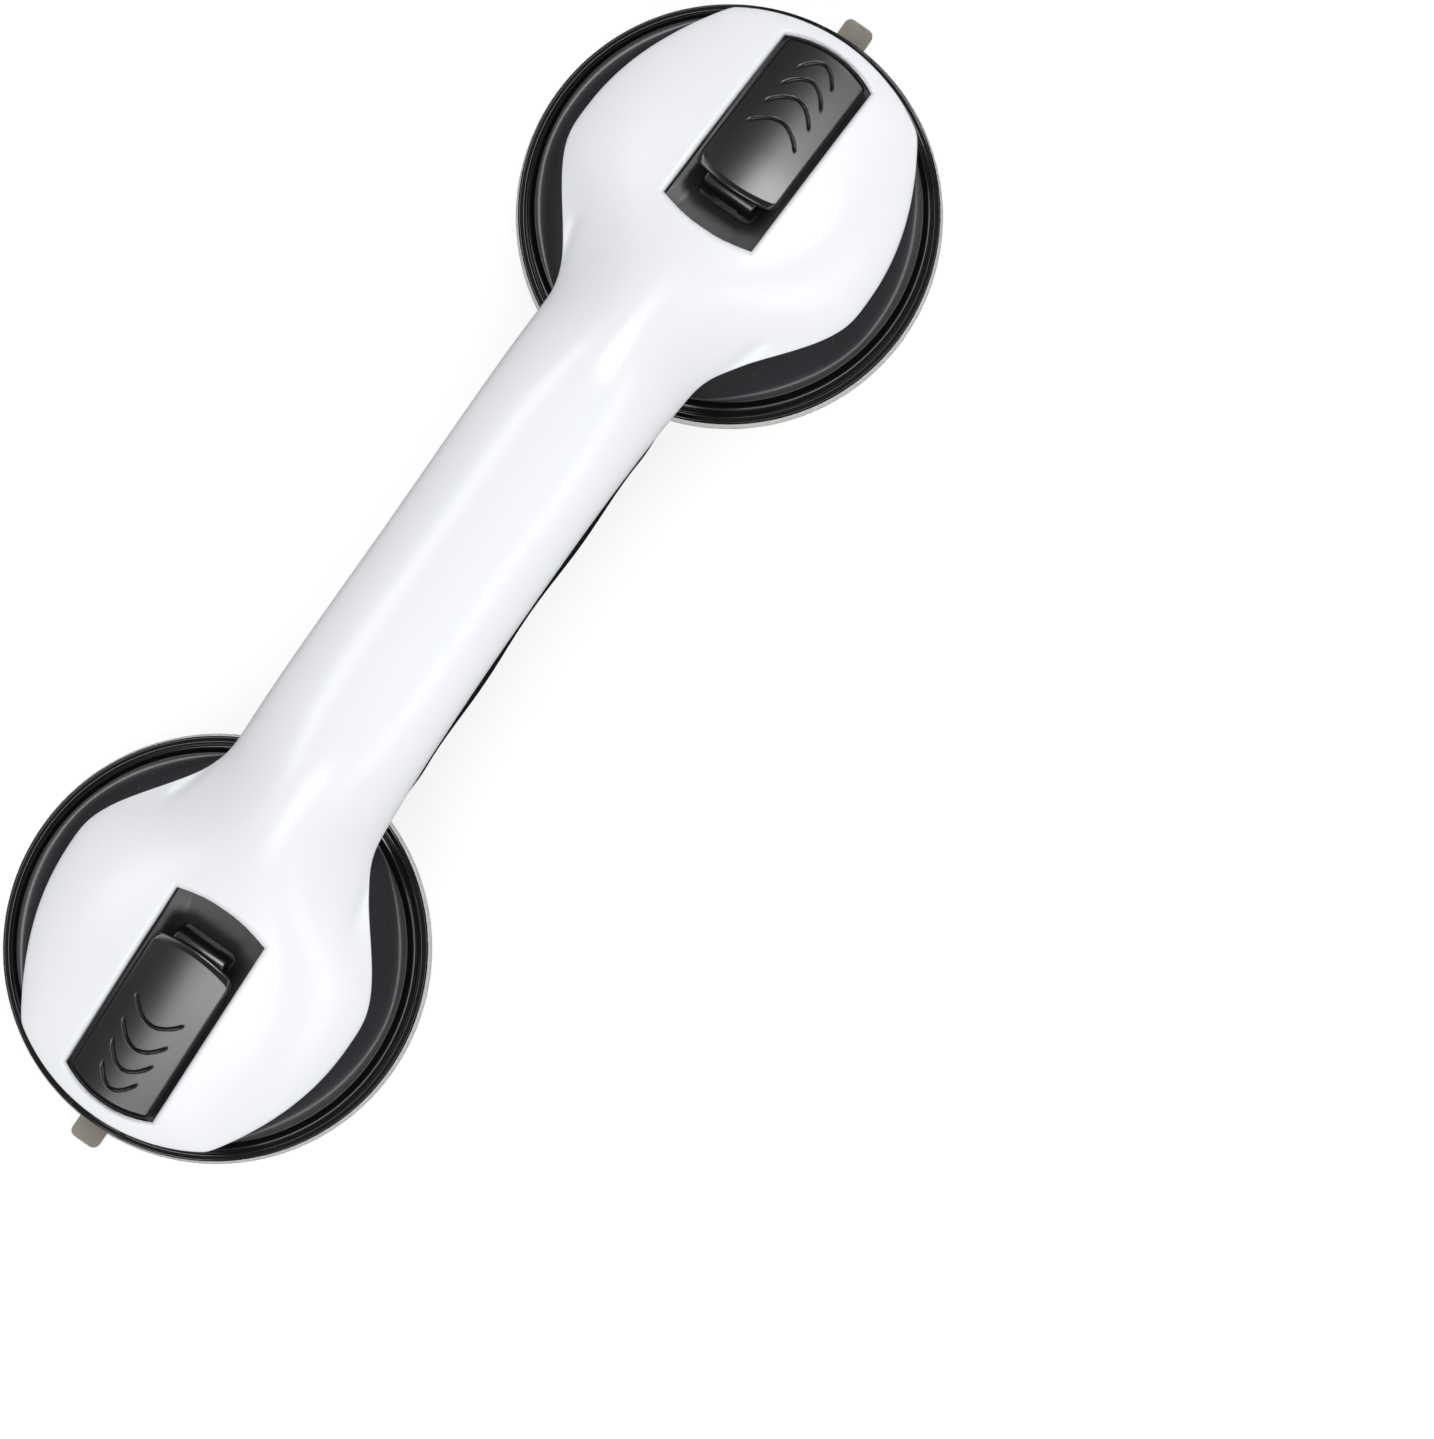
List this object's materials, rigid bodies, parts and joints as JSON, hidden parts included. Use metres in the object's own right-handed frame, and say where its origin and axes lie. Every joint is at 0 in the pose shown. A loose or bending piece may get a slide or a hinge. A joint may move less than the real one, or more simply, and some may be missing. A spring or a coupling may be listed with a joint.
{
  "type": "suction grab bar",
  "caption": "Arched grab bar held to a smooth wall by a lever-locked suction cup at each end, with a white top shell over a black grip.",
  "frame": {"origin": "on the wall plane, midway between the two suction cups", "axes": "+X along the bar, +Z straight out from the wall, +Y across the bar"},
  "size_m": [0.3142, 0.099, 0.0645],
  "materials": {
    "shell_white": "high gloss white ABS",
    "black_gloss": "high gloss black ABS",
    "black_satin": "satin moulded nylon",
    "clear_rubber": "translucent soft rubber",
    "steel": "zinc plated"
  },
  "bodies": {
    "bar": {"handle_shell": "shell_white", "handle_grip": "black_gloss", "grip_screws": "steel", "base_housing_left": "black_gloss", "suction_cup_left": "clear_rubber", "return_spring_left": "steel", "wear_plate_left": "steel", "housing_screws_left": "steel", "base_housing_right": "black_gloss", "suction_cup_right": "clear_rubber", "return_spring_right": "steel", "wear_plate_right": "steel", "housing_screws_right": "steel"},
    "stem_left": {"cup_stem_left": "black_satin", "stem_washer_left": "steel"},
    "lever_left": {"lever_left": "black_gloss", "hinge_pin_left": "steel"},
    "stem_right": {"cup_stem_right": "black_satin", "stem_washer_right": "steel"},
    "lever_right": {"lever_right": "black_gloss", "hinge_pin_right": "steel"}
  },
  "joints": [
    {"name": "stem_slide_left", "type": "slide", "parent": "bar", "child": "stem_left", "axis": [0, 0, 1], "range_m": [-0.0033, 0], "deforming": ["suction_cup_left", "return_spring_left"]},
    {"name": "lever_hinge_left", "type": "hinge", "parent": "stem_left", "child": "lever_left", "pos_m": [-0.1056, 0, 0.0294], "axis": [0, 1, 0], "range_deg": [0, 65]},
    {"name": "stem_slide_right", "type": "slide", "parent": "bar", "child": "stem_right", "axis": [0, 0, 1], "range_m": [-0.0033, 0], "deforming": ["suction_cup_right", "return_spring_right"]},
    {"name": "lever_hinge_right", "type": "hinge", "parent": "stem_right", "child": "lever_right", "pos_m": [0.1056, 0, 0.0294], "axis": [0, -1, 0], "range_deg": [0, 65]}
  ],
  "couplings": [
    {"joint": "stem_slide_left", "follows": "lever_hinge_left", "m_per_rad": -0.0029089},
    {"joint": "stem_slide_right", "follows": "lever_hinge_right", "m_per_rad": -0.0029089}
  ]
}
